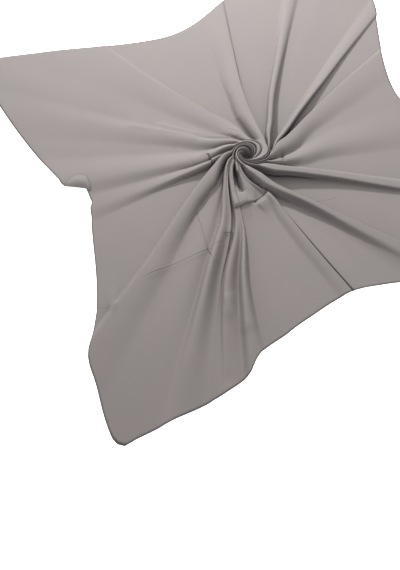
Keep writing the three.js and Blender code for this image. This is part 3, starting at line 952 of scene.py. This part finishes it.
@dataclass
class RolledHem:
    """The narrow rolled hem of one side: a thin roll along the cloth's edge, with overlock stitches.

    cover is how far the roll's middle stands out from the edge, and sink is how far it lies under
    the cloth's top, as a share of its radius. stitch_arc is the stretch of the roll that a thread
    goes over, in half turns from its outer side.
    """

    side: str
    edge: Array
    middle: Pair
    radius: float = 0.7
    cover: float = 0.4
    sink: float = 0.4
    floor_gap: float = 0.1
    roll_step: float = 4.0
    roll_faces: int = 8
    stitch_pitch: float = 2.6
    stitch_radius: float = 0.22
    stitch_slant: float = 1.1
    stitch_points: int = 5
    stitch_arc: Pair = (-0.15, 1.0)

    def resampled(self, step: float) -> tuple[Array, Array]:
        """Space points evenly along the edge.

        Args:
            step: the distance from point to point.

        Returns:
            The points, and the edge's direction at each.
        """
        gaps = np.hypot(*np.diff(self.edge[:, :2], axis=0).T)
        run = np.concatenate([[0], np.cumsum(gaps)])
        at = np.linspace(0, run[-1], max(int(run[-1] / step), 2) + 1)
        points = np.stack([np.interp(at, run, self.edge[:, k]) for k in range(3)], -1)
        along = np.gradient(points, axis=0)
        along /= np.linalg.norm(along, axis=1, keepdims=True)
        return points, along

    def frame_of(self, points: Array, along: Array) -> tuple[Array, Array, Array]:
        """Place the roll beside the edge.

        Args:
            points: points of the edge.
            along: the edge's direction at each.

        Returns:
            The roll's middle at each point, with its outward and upward directions.
        """
        outward = np.stack([along[:, 1], -along[:, 0], np.zeros(len(along))], -1)
        outward /= np.linalg.norm(outward, axis=1, keepdims=True)
        upward = np.cross(outward, along)
        middles = points + outward * self.cover
        lowest = self.radius + self.floor_gap
        middles[:, 2] = np.maximum(middles[:, 2] - self.radius * self.sink, lowest)
        return middles, outward, upward

    def build(self) -> bpy.types.Object:
        """Make the roll and its stitches as one piece.

        Returns:
            The hem, with its finish on.
        """
        points, along = self.resampled(self.roll_step)
        middles, outward, upward = self.frame_of(points, along)
        turns = np.arange(self.roll_faces) * 2 * math.pi / self.roll_faces
        rings = middles[:, None] + self.radius * spokes(turns, outward, upward)
        count = len(middles)
        number = np.arange(count * self.roll_faces).reshape(count, self.roll_faces)
        follow = np.roll(number, -1, axis=1)
        faces = np.stack([number[:-1], number[1:], follow[1:], follow[:-1]], -1).reshape(-1, 4).tolist()
        faces.append(number[0].tolist())
        faces.append(number[-1][::-1].tolist())
        stitch_points, stitch_faces = self.stitches(count * self.roll_faces)
        placed = np.vstack([rings.reshape(-1, 3), stitch_points]) * MM
        placed[:, :2] += np.array(self.middle)
        hem = mesh_object(f"rolled_hem_{self.side}", placed, faces + stitch_faces)
        hem.data.materials.append(HemFinish().material())
        return hem

    def stitches(self, first: int) -> tuple[Array, list[list[int]]]:
        """Lay slanted threads over the roll, each with a three-sided section.

        Args:
            first: how many points come before the threads' own.

        Returns:
            Their points in millimetres about the rosette, and their faces.
        """
        points, along = self.resampled(self.stitch_pitch)
        middles, outward, upward = self.frame_of(points, along)
        arc = np.linspace(*self.stitch_arc, self.stitch_points) * math.pi
        reach = self.radius + self.stitch_radius / 2
        slant = np.linspace(-0.5, 0.5, self.stitch_points) * self.stitch_slant
        spoke = spokes(arc, outward, upward)
        line = middles[:, None] + reach * spoke + slant[None, :, None] * along[:, None]
        corners = [math.cos(angle) * spoke + math.sin(angle) * along[:, None]
                   for angle in (0.0, 2 * math.pi / 3, 4 * math.pi / 3)]
        grid = np.stack([line + self.stitch_radius * corner for corner in corners], 2)
        count = len(middles)
        number = first + np.arange(count * self.stitch_points * 3).reshape(count, self.stitch_points, 3)
        follow = np.roll(number, -1, axis=2)
        sides = np.stack([number[:, :-1], follow[:, :-1], follow[:, 1:], number[:, 1:]], -1)
        faces = sides.reshape(-1, 4).tolist()
        faces += number[:, 0, ::-1].tolist()
        faces += number[:, -1].tolist()
        return grid.reshape(-1, 3), faces


@dataclass(frozen=True)
class HemFinish:
    """Roll and stitches a little darker than the cloth, uneven between two shares of its colour."""

    name: str = "hem_darker"
    colour: Triple = (0.13, 0.114, 0.109)
    uneven: Pair = (0.8, 1.25)
    noise: Pair = (260.0, 2.0)
    roughness: float = 0.8

    def material(self) -> bpy.types.Material:
        """Build the thread's material on Object coordinates.

        Returns:
            The material.
        """
        material, shader = new_material(self.name, {"Roughness": self.roughness})
        tree = material.node_tree
        place = tree.nodes.new("ShaderNodeTexCoord").outputs["Object"]
        dark, light = (tuple(share * part for part in self.colour) for share in self.uneven)
        colour = uneven_colour(tree, place, self.noise, dark, light)
        tree.links.new(colour, shader.inputs["Base Color"])
        return material


def hem_edges(plan: ScarfPlan, rim: Array) -> dict[str, Array]:
    """Cut the cloth's edge at its corners into four sides.

    Args:
        plan: the cloth's form.
        rim: the edge's points, one for each of the plan's columns.

    Returns:
        The points of each side, by its name.
    """
    index, share = plan.columns()
    corners = [number for number, line in enumerate(plan.lines) if line.kind is CORNER]
    starts = [int(np.flatnonzero((index == number) & (share == 0))[0]) for number in corners]
    starts = starts[-1:] + starts[:-1]
    around = np.vstack([rim, rim, rim[:1]])
    edges = {}
    for side, start, end in zip(plan.hem, starts, starts[1:] + starts[:1]):
        end = end if end > start else end + len(rim)
        edges[side.name] = around[start:end + 1]
    return edges


def with_turn(edge: Array, free_edge: Array) -> Array:
    """Put the turned stretch's free edge into the left edge, in place of the bend under it.

    Args:
        edge: the left edge's points.
        free_edge: the free edge's points.

    Returns:
        The points of both in order.
    """
    at = np.degrees(np.arctan2(edge[:, 1], edge[:, 0])) % FULL_TURN
    ends = free_edge[[0, -1]]
    first, last = np.degrees(np.arctan2(ends[:, 1], ends[:, 0])) % FULL_TURN
    return np.vstack([edge[at < first], free_edge, edge[at > last]])


@dataclass(frozen=True)
class Photograph:
    """The view: a camera above the front of the scarf, looking down and back at its target."""

    height: int = 570
    sensor: float = 36.0
    mm_per_pixel: float = 2.2
    distance: float = 1800.0
    elevation: float = 68.0
    target: Pair = (-116.5, -318.5)

    def add_camera(self, middle: Pair) -> None:
        """Make the camera and set it as the scene's.

        Args:
            middle: the rosette's middle, in metres.
        """
        data = bpy.data.cameras.new("photo_camera")
        focal = self.distance / self.mm_per_pixel
        data.sensor_width = self.sensor
        data.lens = self.sensor * focal / self.height
        camera = bpy.data.objects.new("photo_camera", data)
        bpy.context.scene.collection.objects.link(camera)
        rise = math.radians(self.elevation)
        x = self.target[0] * MM + middle[0]
        y = (self.target[1] - math.cos(rise) * self.distance) * MM + middle[1]
        camera.location = (x, y, math.sin(rise) * self.distance * MM)
        camera.rotation_euler = (math.radians(90 - self.elevation), 0, 0)
        bpy.context.scene.camera = camera


@dataclass(frozen=True)
class SoftLight:
    """A square area light: where it stands and what it is aimed at in metres, its size and power."""

    name: str
    place: Triple
    aim: Triple
    size: float
    power: float

    def add(self) -> None:
        """Add the light to the scene."""
        data = bpy.data.lights.new(self.name, "AREA")
        data.size = self.size
        data.energy = self.power
        light = bpy.data.objects.new(self.name, data)
        bpy.context.scene.collection.objects.link(light)
        light.location = self.place
        away = np.array(self.place) - np.array(self.aim)
        flat = math.hypot(away[0], away[1])
        light.rotation_euler = (math.atan2(flat, away[2]), 0, math.atan2(away[0], -away[1]))


@dataclass
class Studio:
    """A plain pale floor and soft light."""

    floor_size: float = 12.0
    floor_colour: Triple = (0.9, 0.9, 0.9)
    floor_roughness: float = 0.9
    floor_glow: float = 0.9
    air_glow: float = 0.93
    contrast: float = 0.74
    lights: tuple[SoftLight, ...] = (
        SoftLight("key", (-0.55, 1.37, 1.15), (0.6, 0.3, 0), 0.14, 39),
        SoftLight("softbox", (0.1, 0.5, 1.4), (0.1, 0.1, 0), 1.2, 11),
    )

    def build(self) -> None:
        """Add the floor, the lights and the plain surround."""
        bpy.ops.object.select_all(action="DESELECT")
        bpy.ops.mesh.primitive_plane_add(size=self.floor_size, location=(0, 0, 0))
        floor = bpy.context.object
        floor.name = "floor"
        white, _ = new_material("floor_white", {
            "Base Color": (*self.floor_colour, 1), "Roughness": self.floor_roughness,
            "Emission Color": (1, 1, 1, 1), "Emission Strength": self.floor_glow})
        floor.data.materials.append(white)
        for light in self.lights:
            light.add()
        world = bpy.data.worlds.new("studio_air")
        world.use_nodes = True
        air = world.node_tree.nodes["Background"]
        air.inputs["Color"].default_value = (1, 1, 1, 1)
        air.inputs["Strength"].default_value = self.air_glow
        bpy.context.scene.world = world
        bpy.context.scene.view_settings.view_transform = "Standard"
        bpy.context.scene.view_settings.gamma = self.contrast


def rosette_middle() -> Pair:
    """Where the rosette's middle stands in the frame, in metres."""
    low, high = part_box("rosette")
    return ((low[0] + high[0]) / 2, (low[1] + high[1]) / 2)


def main() -> None:
    """Build the headscarf and its setting, and report each piece."""
    logging.basicConfig(level=logging.INFO, format="%(name)s: %(message)s")
    middle = rosette_middle()
    Photograph().add_camera(middle)
    Studio().build()
    plan = ScarfPlan()
    scarf = LaidScarf(plan, middle)
    top = scarf.top_points()
    points, faces, free_edge = TurnedEdge().build(top, middle)
    cloth = scarf.build(top, (points, faces))
    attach(cloth, "root")
    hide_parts("laid_cloth", "rosette")
    hems = []
    edges = hem_edges(plan, top[-1])
    edges["left"] = with_turn(edges["left"], free_edge)
    for side, edge in edges.items():
        hem = RolledHem(side, edge, middle).build()
        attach(hem, "root")
        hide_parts(f"hem_{side}")
        hems.append(hem)
    for piece in (cloth, *hems):
        piece.data.calc_loop_triangles()
        LOG.info("%s: %d triangles", piece.name, len(piece.data.loop_triangles))


if __name__ == "__main__":
    main()
